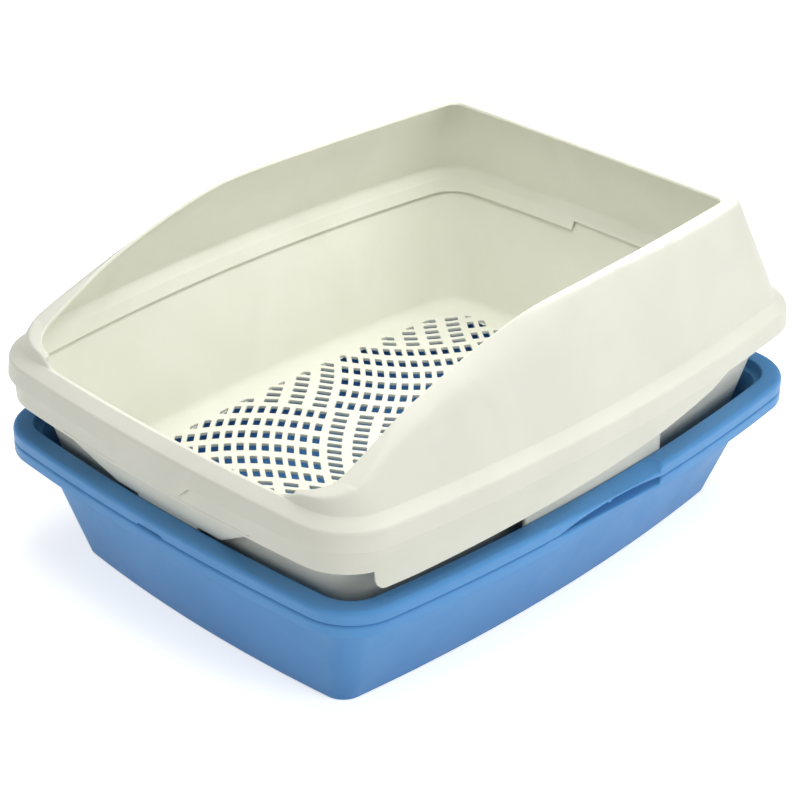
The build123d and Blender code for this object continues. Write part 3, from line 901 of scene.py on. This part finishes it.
class SCENE_OT_stage(bpy.types.Operator):
    """Sets the pale floor, the soft studio light and the camera at the photograph's angle"""
    bl_idname = "scene.litter_stage"
    bl_label = "Stage"

    def execute(self, context):
        scene = context.scene
        scene.view_settings.view_transform = "Standard"

        # floor: paper whose glow only the camera, reflections and clear things see, so a faint shadow stays
        material = bpy.data.materials.new("matt_white_paper")
        material.use_nodes = True
        tree = material.node_tree
        tree.nodes.clear()
        paper = add_node(tree, "ShaderNodeBsdfDiffuse", {"Color": linear("#F2F2F0"), "Roughness": 0.6})
        glow = add_node(tree, "ShaderNodeEmission", {"Color": (1, 1, 1, 1), "Strength": 0.62})
        both = add_node(tree, "ShaderNodeAddShader", {0: paper.outputs[0], 1: glow.outputs[0]})
        path = add_node(tree, "ShaderNodeLightPath")
        seen = path.outputs["Is Camera Ray"]
        for ray in ("Is Glossy Ray", "Is Transmission Ray"):
            either = add_node(tree, "ShaderNodeMath", {0: seen, 1: path.outputs[ray]}, operation="MAXIMUM")
            seen = either.outputs[0]
        mixed = add_node(tree, "ShaderNodeMixShader", {0: seen, 1: paper.outputs[0], 2: both.outputs[0]})
        add_node(tree, "ShaderNodeOutputMaterial", {"Surface": mixed.outputs[0]})
        bm = bmesh.new()
        floor_radius, below_the_pan = 6.0, 0.0002
        bmesh.ops.create_circle(bm, cap_ends=True, segments=96, radius=floor_radius)
        mesh = bpy.data.meshes.new("floor")
        bm.to_mesh(mesh)
        bm.free()
        mesh.materials.append(material)
        floor = bpy.data.objects.new("floor", mesh)
        floor.location = (0, 0, -below_the_pan)
        scene.collection.objects.link(floor)

        world = bpy.data.worlds.new("studio")
        scene.world = world
        world.use_nodes = True
        tree = world.node_tree
        tree.nodes.clear()
        path = add_node(tree, "ShaderNodeLightPath")
        room = add_node(tree, "ShaderNodeBackground", {"Color": (1, 1, 1, 1), "Strength": 0.22})
        seen_room = add_node(tree, "ShaderNodeBackground", {"Color": (1, 1, 1, 1), "Strength": 1.0})
        seen = add_node(tree, "ShaderNodeMath", {
            0: path.outputs["Is Camera Ray"], 1: path.outputs["Is Transmission Ray"]}, operation="MAXIMUM")
        mixed = add_node(tree, "ShaderNodeMixShader", {
            0: seen.outputs[0], 1: room.outputs[0], 2: seen_room.outputs[0]})
        add_node(tree, "ShaderNodeOutputWorld", {"Surface": mixed.outputs[0]})

        # soft boxes overhead, on the right and in front, and a small one that hangs over the pan's opening
        aim = Vector((0, 0, 0.1))
        for name, place, width, deep, power in (
                ("overhead", (0.1, 0.2, 1.9), 1.7, 1.7, 26.0),
                ("right", (2.0, 0.35, 0.9), 1.3, 1.3, 20.0),
                ("front", (-0.2, -2.0, 0.6), 1.2, 1.2, 8.0),
                ("over_the_opening", (0.0, 0.05, 0.46), 0.10, 0.26, 0.9)):
            lamp = bpy.data.lights.new(name, "AREA")
            lamp.shape = "RECTANGLE"
            lamp.size = width
            lamp.size_y = deep
            lamp.energy = power
            light = bpy.data.objects.new(name, lamp)
            light.location = place
            light.rotation_mode = "QUATERNION"
            light.rotation_quaternion = (aim - Vector(place)).to_track_quat("-Z", "Y")
            light.visible_camera = False
            light.visible_glossy = False
            scene.collection.objects.link(light)

        camera = bpy.data.cameras.new("camera")
        camera.sensor_width = 36.0
        camera.lens = 102.45
        camera.clip_start, camera.clip_end = 0.05, 30.0
        eye = bpy.data.objects.new("camera", camera)
        scene.collection.objects.link(eye)
        # the angles, the point in the middle of the picture and the distance, as solved from the photograph
        azimuth, elevation, roll = (math.radians(a) for a in (43.8, 29.3, 0.8))
        target, distance = Vector((-0.0032, -0.0031, 0.0981)), 1.6262
        back = Vector((math.sin(azimuth) * math.cos(elevation), -math.cos(azimuth) * math.cos(elevation),
                       math.sin(elevation)))
        right = Vector((math.cos(azimuth), math.sin(azimuth), 0))
        up = back.cross(right)
        turned_right = right * math.cos(roll) + up * math.sin(roll)
        turned_up = up * math.cos(roll) - right * math.sin(roll)
        turn = Matrix((turned_right, turned_up, back)).transposed().to_4x4()
        eye.matrix_world = Matrix.Translation(target + back * distance) @ turn
        scene.camera = eye
        return {"FINISHED"}


class VIEW3D_PT_litter_pan(bpy.types.Panel):
    """Lists the pan's steps, sizes and finishes"""
    bl_idname = "VIEW3D_PT_litter_pan"
    bl_label = "Litter pan"
    bl_space_type = "VIEW_3D"
    bl_region_type = "UI"
    bl_category = "Litter pan"

    def draw(self, context):
        column = self.layout.column()
        for operator in (MESH_OT_catch_pans, MESH_OT_sifting_pan, MESH_OT_guard, SCENE_OT_stage):
            column.operator(operator.bl_idname)
        for name in GROUPS:
            group = getattr(context.scene, name)
            box = self.layout.box()
            for key in group.bl_rna.properties.keys():
                if key not in ("rna_type", "name"):
                    box.prop(group, key)


GROUPS = {"pan_finishes": PanFinishes, "catch_pan_sizes": CatchPanSizes,
          "tray_sizes": TraySizes, "guard_sizes": GuardSizes}
CLASSES = (MESH_OT_catch_pans, MESH_OT_sifting_pan, MESH_OT_guard, SCENE_OT_stage, VIEW3D_PT_litter_pan)


def register():
    for name, group in GROUPS.items():
        bpy.utils.register_class(group)
        setattr(bpy.types.Scene, name, bpy.props.PointerProperty(type=group))
    for made in CLASSES:
        bpy.utils.register_class(made)


def unregister():
    for made in reversed(CLASSES):
        bpy.utils.unregister_class(made)
    for name, group in reversed(GROUPS.items()):
        delattr(bpy.types.Scene, name)
        bpy.utils.unregister_class(group)


def main():
    register()
    bpy.ops.mesh.litter_catch_pans()
    bpy.ops.mesh.litter_sifting_pan()
    bpy.ops.mesh.litter_guard()
    bpy.ops.scene.litter_stage()


if __name__ == "__main__":
    main()
